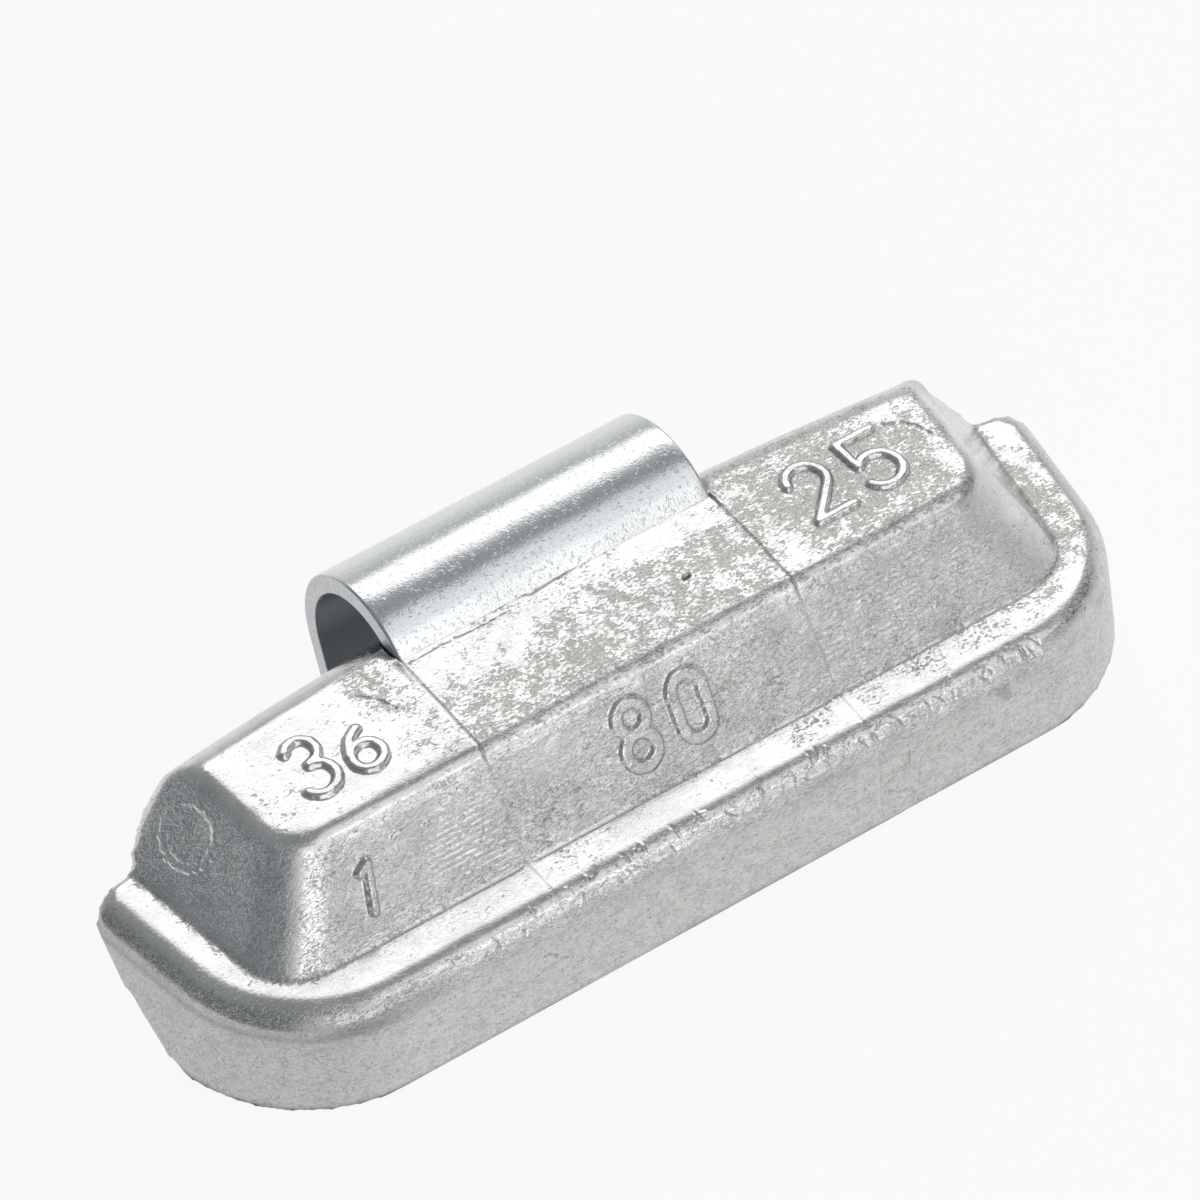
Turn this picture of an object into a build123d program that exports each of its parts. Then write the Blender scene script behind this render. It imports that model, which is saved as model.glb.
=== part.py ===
"""Clip-on balance weight for a car wheel: a zinc body cast round a bent spring-steel clip.

X runs along the weight, +Y points away from the wheel's axis, +Z out of the wheel.
The origin is the corner of the rim seat at mid-length, where the back wall's cylinder would meet
the flat under face. The rim's lip comes up from below between that wall and the clip's free leg.
"""
import os
from math import cos, radians, tan

from build123d import *

# Rim that the weight seats on
rim_radius = 235.0          # back wall to the wheel's axis
wall_height = 0.95          # upright back wall, between the seat and the rounding above it
seat_depth = 9.9            # back wall to the start of the flat under face
seat_radius = 19.5          # round of the rim's flange, which the hollow of the seat follows

# Flange, the lower body that runs round the front and the ends
body_depth = 21.0           # back wall to front wall at mid-length, along the under face
front_length = 63.7         # between the end walls, taken at the front wall
end_flare = 8.3             # each end wall opens this many degrees towards the back
flange_corner = 10.4        # front corners in plan
wall_draft = 6.0            # walls lean in by this many degrees
ledge_height = 7.35         # under face to the ledge
flange_edge = 1.75          # rounding between the ledge and the walls

# Raised block on the flange
front_ledge = 4.75          # foot of the flange's front wall to the foot of the block
end_ledge = 4.1             # the same at each end
block_height = 6.0          # ledge to top face
front_run = 4.15            # the front slope leans back this far over its height
end_run = 4.0               # each end slope leans in this far over its height
top_flare = 5.1             # the top face's ends open this many degrees towards the back
foot_corner = 3.8           # front corners of the block at its foot
top_corner = 3.25           # front corners of the block at its top
block_edge = 1.65           # rounding between the top face and the slopes
back_edge = 2.8             # rounding along the upper back edge
back_corner = 1.75          # rounding of the block's upright edges at the back
back_stock = 0.6            # the block runs this far behind the back wall before the seat is cut

# Spring clip, one bent strip
strip_thickness = 1.3
clip_width = 22.2
clip_offset = -0.2          # the clip sits slightly to one side of mid-length
curl_radius = 5.95          # outside of the curl
curl_centre_y = 0.6         # behind the back wall
curl_centre_z = 9.0         # above the under face
root_angle = 35.0           # the cast-in leg goes down into the body at this slope
root_length = 7.2           # cast-in leg, from the curl to its end
leg_lean = 20.0             # the free leg leans in towards the body
leg_length = 6.2            # free leg, from the curl to its tip
tip_corner = 1.6            # corners of the free leg's tip
key_diameter = 3.2          # holes through the cast-in leg, which the zinc fills
key_spacing = 11.5          # between the two holes

# Zinc that laps over the clip's root
lap_height = 0.4            # the lap's lip above the top face
lap_run = 3.3               # from the lap's foot to its lip

top_height = ledge_height + block_height
seat_height = top_height - back_edge - wall_height
reach = 12.0                # how far the plan outlines run past the back wall before it is cut


def plan_outline(front, half_front, flare, corner):
    """A plan outline that runs past the back wall, with a straight front and flared ends."""
    half_back = half_front + (reach - front) * tan(radians(flare))
    with BuildSketch() as outline:
        with BuildLine():
            Polyline(
                (-half_back, reach),
                (-half_front, front),
                (half_front, front),
                (half_back, reach),
                close=True,
            )
        make_face()
        fillet(outline.vertices().group_by(Axis.Y)[0], radius=corner)
    return outline.sketch


wheel_axis = Axis((0, -rim_radius, 0), (0, 0, 1))
# Half-plane through the wheel's axis on the far side from the weight, so the seam lies there
seat_plane = Plane(origin=(0, -rim_radius, 0), x_dir=(0, -1, 0), z_dir=(-1, 0, 0))

foot_front = -body_depth + front_ledge
foot_half = front_length / 2 + front_ledge * tan(radians(end_flare)) - end_ledge / cos(radians(end_flare))
top_front = foot_front + front_run
top_half = foot_half + front_run * tan(radians(end_flare)) - end_run

# Spring clip: a strip along a straight root, a curl and a straight free leg
with BuildPart() as spring_clip:
    with BuildSketch(Plane.YZ.offset(clip_offset)):
        with BuildLine():
            root_start = 90 + root_angle
            curl = CenterArc(
                (curl_centre_y, curl_centre_z), curl_radius, root_start, -(root_start + leg_lean)
            )
            root = Line(curl @ 0 - (curl % 0) * root_length, curl @ 0)
            leg = Line(curl @ 1, curl @ 1 + (curl % 1) * leg_length)
            offset(amount=strip_thickness, side=Side.RIGHT)
        make_face()
    extrude(amount=clip_width / 2, both=True)
    tip = spring_clip.faces().sort_by(Axis.Z)[0]
    fillet(tip.edges().filter_by(Axis.X, reverse=True), radius=tip_corner)
    root_along = root % 0
    key_plane = Plane(
        origin=(clip_offset, (root @ 0.5).X, (root @ 0.5).Y),
        x_dir=(1, 0, 0),
        z_dir=(0, -root_along.Y, root_along.X),
    )
    with Locations(key_plane):
        with GridLocations(key_spacing, 0, 2, 1):
            Hole(radius=key_diameter / 2, depth=2 * strip_thickness)

# Raised block with sloping sides, cut a little behind the back wall so that its corners stay round
with BuildPart() as block:
    with BuildSketch(Plane.XY.offset(ledge_height)):
        add(plan_outline(foot_front, foot_half, end_flare, foot_corner))
    with BuildSketch(Plane.XY.offset(top_height)):
        add(plan_outline(top_front, top_half, top_flare, top_corner))
    loft(ruled=True)
    with Locations((0, -rim_radius, ledge_height + block_height / 2)):
        Cylinder(rim_radius + back_stock, block_height, mode=Mode.INTERSECT)
    upright_edges = block.edges().filter_by(Plane.XY, reverse=True)
    fillet(upright_edges.sort_by(Axis.Y)[-2:], radius=back_corner)
    fillet(block.faces().sort_by(Axis.Z)[-1].edges(), radius=block_edge)

with BuildPart() as cast_body:
    # Flange with leaning walls and a rounded upper edge
    with BuildSketch():
        add(plan_outline(-body_depth, front_length / 2, end_flare, flange_corner))
    extrude(amount=ledge_height, taper=wall_draft)
    fillet(cast_body.faces().sort_by(Axis.Z)[-1].edges(), radius=flange_edge)
    add(block.part)
    # Rim seat, turned about the wheel's axis
    with BuildSketch(seat_plane):
        with BuildLine():
            flat_end = rim_radius - seat_depth
            Line((0, 0), (flat_end, 0))
            RadiusArc((flat_end, 0), (rim_radius, seat_height), -seat_radius)
            Line((rim_radius, seat_height), (rim_radius, top_height - back_edge))
            RadiusArc((rim_radius, top_height - back_edge), (rim_radius - back_edge, top_height), -back_edge)
            Polyline((rim_radius - back_edge, top_height), (0, top_height), (0, 0))
        make_face()
    revolve(axis=wheel_axis, mode=Mode.INTERSECT)
    # Lap of zinc over the clip's root
    with BuildSketch(Plane.YZ.offset(clip_offset)):
        with BuildLine():
            lap_lip = (curl @ 0).X - (curl % 0).X * ((curl @ 0).Y - top_height - lap_height) / (curl % 0).Y
            Polyline(
                (lap_lip - lap_run, top_height),
                (lap_lip, top_height + lap_height),
                (lap_lip + lap_height, top_height),
                close=True,
            )
        make_face()
    extrude(amount=clip_width / 2, both=True)
    # The clip's own bed in the casting
    add(spring_clip.part, mode=Mode.SUBTRACT)

os.makedirs("parts", exist_ok=True)
cast_body.part.label = "cast_body"
spring_clip.part.label = "spring_clip"
export_step(cast_body.part, "parts/cast_body.step")
export_step(spring_clip.part, "parts/spring_clip.step")
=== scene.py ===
"""Looks of a clip-on wheel balance weight: a die-cast zinc body and its plated spring-steel clip.

Lengths are in millimetres, in the part's own frame, and MM turns them into Blender's metres.
"""
from dataclasses import dataclass
from math import ceil, cos, pi, radians, sin, tan

import bmesh
import bpy
import numpy as np
from mathutils import Matrix, Vector, noise
from mathutils.bvhtree import BVHTree


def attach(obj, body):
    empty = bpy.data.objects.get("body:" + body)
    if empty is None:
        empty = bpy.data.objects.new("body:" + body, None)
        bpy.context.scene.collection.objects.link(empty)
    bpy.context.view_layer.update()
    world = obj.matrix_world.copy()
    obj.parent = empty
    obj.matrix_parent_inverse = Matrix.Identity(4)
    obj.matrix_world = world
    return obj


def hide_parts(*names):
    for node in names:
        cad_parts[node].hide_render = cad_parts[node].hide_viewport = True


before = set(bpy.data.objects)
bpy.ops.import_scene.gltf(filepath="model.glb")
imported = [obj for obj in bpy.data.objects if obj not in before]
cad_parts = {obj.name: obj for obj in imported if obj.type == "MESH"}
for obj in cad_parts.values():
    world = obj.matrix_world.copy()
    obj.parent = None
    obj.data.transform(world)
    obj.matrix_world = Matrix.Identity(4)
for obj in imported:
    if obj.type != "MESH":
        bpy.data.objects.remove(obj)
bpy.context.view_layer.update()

MM = 0.001

# Body, as the part has it
TOP_HEIGHT = 13.35
LEDGE_HEIGHT = 7.35
FRONT_WALL = -21.0           # foot of the front wall
WALL_DRAFT = 6.0             # degrees
FOOT_FRONT = -16.25          # foot of the block's front slope
FRONT_RUN = 4.15             # the slope leans back this far up to the top face

# Skin of the body: an even mesh laid on the solid, refined where it carries relief
BODY_VOXEL = 0.31
BODY_MERGE = 0.0005          # corners of the solid's triangles this near are one
SHARP_TURN = 22.0            # degrees between the normals of neighbours on a sharp edge
SOFTEN_STEPS = 4             # rounds of smoothing at sharp edges
SOFTEN_SHARE = 0.6           # share of the neighbours' mean in each round
CREASE_FADE = 0.75           # what the next vertex keeps of the band along an inner corner
WORN_CORNER = (32.9, -3.7, 7.1)    # back corners of the flange, worn round
WORN_REACH = 0.95
WORN_STEPS = 8               # rounds of smoothing there
REFINE_REACHES = (0.3, 0.12)       # faces this near to relief are halved, once for each
FACING = 0.75                # least cosine between a mark's face and the skin that carries the mark
BURR = (26.9, -2.6, 11.9)    # a raised burr on the block's back corner
BURR_SIZE = 0.9
BURR_HEIGHT = 0.22
UNEVEN_WAVES = 0.28          # waves of the uneven skin in a millimetre
SWELL_LOW = 0.014            # their height up to the ledge
SWELL_HIGH = 0.022           # and above it

# Clip, as the part has it
STRIP_THICKNESS = 1.3
CLIP_WIDTH = 22.2
CLIP_OFFSET = -0.2
CURL_RADIUS = 5.95
CURL_CENTRE = (0.6, 9.0)     # Y and Z
ROOT_ANGLE = 35.0
ROOT_LENGTH = 7.2
LEG_LEAN = 20.0
LEG_LENGTH = 6.2
TIP_CORNER = 1.6
KEY_DIAMETER = 3.2           # holes in the cast-in root
KEY_SPACING = 11.5
STRIP_EDGE = 0.2             # rounding of the strip's long edges
WIDTH_POINTS = 40            # points across the strip
CURL_POINTS = 60             # and along the parts of its line
ROOT_POINTS = 14
LEG_POINTS = 16
ROOT_GAP = 0.4               # the root's last point lies this far before the curl
TIP_CROWDING = 1.6           # the leg's points crowd towards the tip by this power
HOLE_SIDES = 32
STRIP_MERGE = 0.001          # corners of the swept strip this near are one
WAVE_HEIGHT = 0.1            # slight waves that bending leaves in the strip
WAVE_LENGTH = 5.0
# The inside of the curl is painted darker, as painted shade
SHADED_INSIDE_TURN = (0.35, 0.6)    # cosines from the way to the curl's centre where the inside starts and is full

# Lap of zinc over the clip's root
LAP_FOOT = -6.29             # Y where the solid's lap leaves the top face
LAP_RUN = 3.3
LAP_PART = (0.03, 1.2)       # shares of the run that are reshaped
LIP_RISE = (0.9, 1.0)        # shares of the run between which the lip rises
LAP_LEVEL = 0.8              # least upward part of the normal on the lap
LAP_DEPTH = 0.2              # the lap's faces reach this far below the top face

# Height of the lap's ragged lip above the top face, at places along X
LAP_LIP = (
    (-11.3, 0.12), (-9.8, 0.07), (-6.7, 0.12), (-4.7, 0.08), (-4.2, 0.04), (-3.9, 0.15), (-2.8, 0.12),
    (-2.2, -0.14), (-1.2, -0.06), (1.3, 0.08), (5.3, 0.12), (8.6, 0.14), (9.6, 0.08), (10.9, 0.1),
)

# Camera: where the photograph was taken from
EYE = (-209.32, -307.82, 419.51)
VIEW_AZIMUTH = 34.894        # degrees from +Y towards +X
VIEW_ELEVATION = 47.872
VIEW_ROLL = -0.649
FOCAL_PIXELS = 9419.3
PICTURE_PIXELS = 1200
SENSOR = 36.0

# Soft panels: azimuth, elevation, width and height in degrees, brightness, and distance in metres
PANELS = {
    "panel_behind": (38, 42, 39, 26, 1.3, 1.8),
    "panel_front": (177, 39, 46, 44, 0.8, 0.9),
    "panel_right": (132, 61, 31, 26, 0.71, 0.9),
}
FLAG_WAY = (100, 40)         # azimuth and elevation of a dark flag to the weight's right
GLOW_WAY = (195, 20)         # and of a soft glow in front of it
TABLE_RADIUS = 2.0           # metres
TABLE_SIDES = 96
TABLE_LIFT = 0.9             # share of plain white in what the camera and the metal see of the table


# Small tools

def linear(hex_colour):
    """An sRGB hex colour as linear RGBA."""
    values = [int(hex_colour[i:i + 2], 16) / 255 for i in (1, 3, 5)]
    return [v / 12.92 if v <= 0.04045 else ((v + 0.055) / 1.055) ** 2.4 for v in values] + [1.0]


def per_size(size):
    """Texture scale that makes one feature this many millimetres across."""
    return 1 / (size * MM)


def add(tree, kind, links=None, out=0, **settings):
    """Adds a node with its settings, sets or links its inputs, and gives one of its outputs."""
    made = tree.nodes.new(kind)
    for name, value in settings.items():
        setattr(made, name, value)
    for name, value in (links or {}).items():
        if isinstance(value, bpy.types.NodeSocket):
            tree.links.new(value, made.inputs[name])
        else:
            made.inputs[name].default_value = value
    return made.outputs[out] if made.outputs else None


def smooth_step(low, high, values):
    """0 below low, 1 above high, with an even turn between them."""
    share = np.clip((values - low) / (high - low), 0, 1)
    return share * share * (3 - 2 * share)


def new_object(name, data):
    """An object in the scene with this data."""
    made = bpy.data.objects.new(name, data)
    bpy.context.scene.collection.objects.link(made)
    return made


def plain_mesh(source, name):
    """The evaluated object as a plain mesh."""
    depsgraph = bpy.context.evaluated_depsgraph_get()
    mesh = bpy.data.meshes.new_from_object(source.evaluated_get(depsgraph))
    mesh.name = name
    return mesh


def vertex_array(mesh, what="co"):
    """Places of the vertices, or their normals, as rows of three numbers."""
    values = np.zeros(len(mesh.vertices) * 3, np.float32)
    mesh.vertices.foreach_get(what, values)
    return values.reshape(-1, 3).astype(float)


def paint(mesh, name, values):
    """Stores one number at each vertex for a material to read."""
    layer = mesh.attributes.new(name, "FLOAT", "POINT")
    layer.data.foreach_set("value", values.astype(np.float32))


def vertex_values(mesh, name):
    """The numbers that were painted at the vertices."""
    values = np.zeros(len(mesh.vertices), np.float32)
    mesh.attributes[name].data.foreach_get("value", values)
    return values.astype(float)


# Materials

def empty_tree(owner):
    """The node tree of a material or a world, without the nodes that it starts with."""
    owner.use_nodes = True
    owner.node_tree.nodes.clear()
    return owner.node_tree


def set_stops(ramp, *stops):
    """Gives a colour ramp its places and colours."""
    for element, (place, colour) in zip(ramp.color_ramp.elements, stops):
        element.position = place
        element.color = linear(colour)


def start_material(name):
    """A new bare metal, with its node tree and its shader."""
    material = bpy.data.materials.new(name)
    tree = empty_tree(material)
    shader = add(tree, "ShaderNodeBsdfPrincipled", {"Metallic": 1.0}).node
    add(tree, "ShaderNodeOutputMaterial", {"Surface": shader.outputs["BSDF"]})
    return material, tree, shader


def die_cast_zinc():
    """Die-cast zinc, as cast: a bright skin that breaks up into dull flecks and feathery ripples.

    The walls are greyer and finely mottled, shade is painted in corners and grooves, and faint lines from the
    milled die show.
    """
    material, tree, shader = start_material("die_cast_zinc_as_cast")
    place = add(tree, "ShaderNodeTexCoord", out="Object")
    painted = {}
    for name in ("flecks", "feathers", "wall", "stain", "milled"):
        painted[name] = add(tree, "ShaderNodeAttribute", attribute_name=name, out="Fac")

    # Patterns: scale along X, where less than 1 draws them out, size in millimetres, detail, roughness and
    # distortion. The real grain is too fine to show, so it is drawn as coarse as 0.13 mm.
    pattern = {}
    for name, along, size, detail, roughness, distortion in (
            ("flake", 0.6, 0.17, 3.0, 0.62, 0.5), ("cluster", 1.0, 1.1, 3.0, 0.6, 0.0),
            ("ripple", 1.0, 1.0, 2.0, 0.55, 0.8), ("chip", 0.4, 0.21, 2.0, 0.5, 1.2),
            ("grain", 1.0, 0.13, 2.0, 0.6, 0.0), ("cloud", 1.0, 3.0, 4.0, 0.6, 0.0),
            ("vein", 1.0, 0.45, 3.0, 0.6, 2.0)):
        way = place
        if along < 1:
            way = add(tree, "ShaderNodeMapping", {"Vector": place, "Scale": (along, 1.0, 1.0)})
        pattern[name] = add(tree, "ShaderNodeTexNoise", {
            "Vector": way, "Scale": per_size(size), "Detail": detail, "Roughness": roughness,
            "Distortion": distortion})
    line_spacing = 0.3
    milling = add(tree, "ShaderNodeTexWave", {
        "Vector": place, "Scale": 0.1 * pi * per_size(line_spacing), "Distortion": 0.5, "Detail": 2.0},
        bands_direction="Z", out="Fac")

    # Flecks: the skin is broken where its pattern passes a limit, which sinks where more flecks are painted
    fleck_limit = 0.625
    limit_drop = -0.3
    fleck_edge = 0.09
    skin = add(tree, "ShaderNodeMix", {0: 0.38, 2: pattern["flake"], 3: pattern["cluster"]})
    least = add(tree, "ShaderNodeMath", {
        0: painted["flecks"], 1: limit_drop, 2: fleck_limit}, operation="MULTIPLY_ADD")
    most = add(tree, "ShaderNodeMath", {0: least, 1: fleck_edge})
    broken = add(tree, "ShaderNodeMapRange", {
        "Value": skin, "From Min": least, "From Max": most}, interpolation_type="SMOOTHSTEP")

    # Relief, from coarse to fine: soft ripples, crisp chips, flecks, milling lines and grain
    chip_top = add(tree, "ShaderNodeMapRange", {
        "Value": pattern["chip"], "From Min": 0.49, "From Max": 0.56}, interpolation_type="SMOOTHSTEP")
    relief = {}
    for height, depth, share, sunk in (
            (pattern["ripple"], 0.04, painted["feathers"], False),
            (chip_top, 0.045, painted["feathers"], False), (broken, 0.008, None, True),
            (milling, 0.01, painted["milled"], False), (pattern["grain"], 0.004, None, False)):
        relief["Height"] = height
        relief["Distance"] = depth * MM
        if share:
            relief["Distance"] = add(tree, "ShaderNodeMath", {0: share, 1: depth * MM}, operation="MULTIPLY")
        relief["Normal"] = add(tree, "ShaderNodeBump", relief, invert=sunk)

    # Colour: cloudy skin, greyer walls with thin grey veins here and there, then flecks and painted shade
    tones = {}
    for name, share, *stops in (
            ("skin", pattern["cloud"], (0.35, "#cbcbca"), (0.65, "#dcdcdb")),
            ("wall", skin, (0.36, "#b6b5b3"), (0.6, "#d6d5d3")),
            ("fleck", pattern["grain"], (0.34, "#8b8a86"), (0.62, "#bdbbb7"))):
        tones[name] = add(tree, "ShaderNodeValToRGB", {"Fac": share})
        set_stops(tones[name].node, *stops)
    fleck_cover = 0.85
    off_vein = add(tree, "ShaderNodeMath", {0: pattern["vein"], 1: 0.5}, operation="SUBTRACT")
    from_vein = add(tree, "ShaderNodeMath", {0: off_vein}, operation="ABSOLUTE")
    on_vein = add(tree, "ShaderNodeMapRange", {"Value": from_vein, "From Min": 0.035, "From Max": 0.005})
    veined_part = add(tree, "ShaderNodeMapRange", {
        "Value": pattern["chip"], "From Min": 0.46, "From Max": 0.58})
    vein_share = add(tree, "ShaderNodeMath", {0: on_vein, 1: veined_part}, operation="MULTIPLY")
    veined = add(tree, "ShaderNodeMix", {
        0: vein_share, 6: tones["wall"], 7: linear("#858481")}, data_type="RGBA", out=2)
    fleck_share = add(tree, "ShaderNodeMath", {0: broken, 1: fleck_cover}, operation="MULTIPLY")
    # The last colour, #5c5b58, is painted shade in creases, grooves, relief flanks and along edges
    colour = tones["skin"]
    for share, over in (
            (painted["wall"], veined), (fleck_share, tones["fleck"]), (painted["stain"], linear("#5c5b58"))):
        colour = add(tree, "ShaderNodeMix", {0: share, 6: colour, 7: over}, data_type="RGBA", out=2)

    # Roughness: that of the bright skin, with more on flecks, walls and where shade is painted
    rough = 0.17
    for share, more in ((broken, 0.16), (painted["wall"], 0.14), (painted["stain"], 0.2)):
        rough = add(tree, "ShaderNodeMath", {0: share, 1: more, 2: rough}, operation="MULTIPLY_ADD")

    tree.links.new(colour, shader.inputs["Base Color"])
    tree.links.new(rough, shader.inputs["Roughness"])
    tree.links.new(relief["Normal"], shader.inputs["Normal"])
    return material


def plated_spring_steel():
    """Zinc-plated spring steel: bright satin with sparkling specks, grey sheared ends and painted shade
    inside the curl.
    """
    material, tree, shader = start_material("zinc_plated_spring_steel_satin")
    place = add(tree, "ShaderNodeTexCoord", out="Object")
    sheared = add(tree, "ShaderNodeAttribute", attribute_name="sheared", out="Fac")
    inside = add(tree, "ShaderNodeAttribute", attribute_name="inside", out="Fac")
    grain = add(tree, "ShaderNodeTexNoise", {
        "Vector": place, "Scale": per_size(0.16), "Detail": 3.0, "Roughness": 0.65})
    grained = add(tree, "ShaderNodeBump", {"Height": grain, "Distance": 0.009 * MM})
    blister = add(tree, "ShaderNodeTexNoise", {
        "Vector": place, "Scale": per_size(0.3), "Detail": 2.0, "Roughness": 0.6})
    raised = add(tree, "ShaderNodeMapRange", {
        "Value": blister, "From Min": 0.56, "From Max": 0.72}, interpolation_type="SMOOTHSTEP")
    blistered = add(tree, "ShaderNodeBump", {"Height": raised, "Distance": 0.009 * MM, "Normal": grained})
    tones = {}
    for name, *stops in (
            ("plating", (0.25, "#c6c9cb"), (0.5, "#d9dbdd")), ("torn", (0.3, "#a9abae"), (0.62, "#c8cacc"))):
        tones[name] = add(tree, "ShaderNodeValToRGB", {"Fac": grain})
        set_stops(tones[name].node, *stops)
    colour = tones["plating"]
    # The sheared ends get their own grey, and #5f6368 is painted shade inside the curl
    for share, over in ((sheared, tones["torn"]), (inside, linear("#5f6368"))):
        colour = add(tree, "ShaderNodeMix", {0: share, 6: colour, 7: over}, data_type="RGBA", out=2)

    # Roughness: that of the plating, with more on the sheared ends and inside the curl
    rough = 0.18
    for share, more in ((sheared, 0.16), (inside, 0.25)):
        rough = add(tree, "ShaderNodeMath", {0: share, 1: more, 2: rough}, operation="MULTIPLY_ADD")
    tree.links.new(colour, shader.inputs["Base Color"])
    tree.links.new(rough, shader.inputs["Roughness"])
    tree.links.new(blistered, shader.inputs["Normal"])
    return material


# Raised numerals and marks, as strokes on flat faces of the casting

ARC_STEP = 12                # degrees
ARC_LEAST_STEPS = 3
FAR = 1e3                    # distance given to places off a mark's face
WOBBLE_WAVES = 2.6           # waves of a stroke's uneven sides in a millimetre


def arc(centre, radius, start, end):
    """Points of an arc from one angle to another, in degrees."""
    steps = max(ARC_LEAST_STEPS, ceil(abs(end - start) / ARC_STEP))
    angles = np.radians(np.linspace(start, end, steps + 1))
    return np.stack([centre[0] + radius * np.cos(angles), centre[1] + radius * np.sin(angles)], 1)


def digit_strokes(digit, width, height):
    """Centre lines of a plain numeral in a cell that starts at its lower left corner."""
    half = width / 2
    if digit == "0":
        upper = arc((half, height - half), half, 0, 180)
        lower = arc((half, half), half, 180, 360)
        return [np.concatenate([upper, lower, [(width, height - half)]])]
    if digit == "1":
        return [np.array([(0, height - 0.4), (half, height), (half, 0)])]
    if digit == "2":
        hook = arc((half, height - half), half, 170, -40)
        return [np.concatenate([hook, [(0, 0), (width, 0)]])]
    if digit == "3":
        small = height * 0.23
        upper = arc((half, height - small), small, 150, -90)
        lower_radius = (height - 2 * small) / 2
        return [upper, arc((half, lower_radius), lower_radius, 90, -150)]
    if digit == "5":
        bowl = arc((half * 0.92, half * 1.04), half * 1.06, 140, -150)
        return [np.concatenate([[(width, height), (0, height)], bowl])]
    if digit == "6":
        stem = arc((width * 1.1, half), width * 1.1, 180, 112)
        return [arc((half, half), half, 0, 360), stem]
    upper_radius = height * 0.24
    lower_radius = height / 2 - upper_radius
    upper = arc((half, height - upper_radius), upper_radius, 0, 360)
    return [upper, arc((half, lower_radius), lower_radius, 0, 360)]


class Face:
    """A flat face of the casting that marks are laid out on, with its own two axes."""

    def __init__(self, origin, right, normal):
        self.origin = np.array(origin, float)
        self.right = np.array(right, float) / np.linalg.norm(right)
        self.normal = np.array(normal, float) / np.linalg.norm(normal)
        self.up = np.cross(self.normal, self.right)

    def lay(self, points):
        """Place of points on the face: along it, up it and off it."""
        away = points - self.origin
        return np.stack([away @ self.right, away @ self.up], 1), away @ self.normal


TOP_FACE = Face((0, 0, TOP_HEIGHT), (1, 0, 0), (0, 0, 1))
FRONT_SLOPE = Face((0, FOOT_FRONT, LEDGE_HEIGHT), (1, 0, 0), (0, LEDGE_HEIGHT - TOP_HEIGHT, FRONT_RUN))
FRONT_FACE = Face((0, FRONT_WALL, 0), (1, 0, 0), (0, -cos(radians(WALL_DRAFT)), sin(radians(WALL_DRAFT))))
FRONT_ROUND = Face((0, -19.89, 6.84), (1, 0, 0), (0, -1, 1))
LEFT_SLOPE = Face((-27.48, -5.6, 10.69), (0.12, -0.99, 0.0), (-0.804, -0.094, 0.587))


@dataclass
class Mark:
    """Strokes on a face that stand proud by height, or are sunk where it is negative.

    The relief starts at base from a stroke's centre line, is full at crest from it, and wobbles a little.
    Painted shade darkens its sides and its middle by the shares given, and bright has its middle free of
    flecks.
    """

    face: Face
    strokes: list
    height: float
    base: float
    crest: float
    wobble: float = 0.05
    side_stain: float = 0.0
    middle_stain: float = 0.0
    bright: float = 0.0

    def distance(self, points, reach=0.8):
        """Distance of points from the strokes, along the face, or far where they lie off it."""
        flat, off = self.face.lay(points)
        nearest = np.full(len(points), FAR)
        lows = np.min([np.min(s, 0) for s in self.strokes], 0) - 2 * self.base
        highs = np.max([np.max(s, 0) for s in self.strokes], 0) + 2 * self.base
        inside = (np.abs(off) < reach) & (flat > lows).all(1) & (flat < highs).all(1)
        flat = flat[inside]
        best = np.full(len(flat), FAR)
        for stroke in map(np.array, self.strokes):
            for start, end in zip(stroke[:-1], stroke[1:]):
                along = end - start
                share = np.clip((flat - start) @ along / max(along @ along, 1e-9), 0, 1)
                best = np.minimum(best, np.linalg.norm(flat - start - share[:, None] * along, axis=1))
        uneven = np.array([noise.noise((WOBBLE_WAVES * u, WOBBLE_WAVES * v, 0.0)) for u, v in flat])
        nearest[inside] = best + self.wobble * uneven
        return nearest

    def relief(self, points):
        """0 off the strokes, 1 on their middle."""
        return smooth_step(-self.base, -self.crest, -self.distance(points))


def numeral(text, face, corner, size, gap, slant=0.0, **relief):
    """A plain number, laid out from its lower left corner."""
    strokes = []
    across = corner[0]
    for digit in text:
        for stroke in digit_strokes(digit, *size):
            lean = stroke[:, 1] * tan(radians(slant))
            strokes.append(np.stack([across + stroke[:, 0] + lean, corner[1] + stroke[:, 1]], 1))
        across += size[0] + gap
    return Mark(face, strokes, **relief)


def groove(face, *strokes, depth=0.05, width=0.2, **shade_shares):
    """Thin sunk lines: cracks and scratches."""
    return Mark(face, strokes, height=-depth, base=width / 2, crest=0.03, wobble=0.12, **shade_shares)


def dents(face, count, seed, across, up, **relief):
    """Short knocks and scratches at random places of a face, more of them towards its right."""
    draw = np.random.default_rng(seed)
    strokes = []
    for _ in range(count):
        middle = np.array((across[0] + (across[1] - across[0]) * draw.random() ** 0.7, draw.uniform(*up)))
        turn = draw.uniform(0.15, 1.0) * pi
        half = draw.uniform(0.12, 0.45) * np.array((cos(turn), sin(turn)))
        strokes.append(np.stack([middle - half, middle + 0.2 * half[::-1], middle + half]))
    return Mark(face, strokes, **relief)


# Shares of painted shade: on the flanks of raised numerals and in the middle of sunk cracks, knocks and the
# pit
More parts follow.
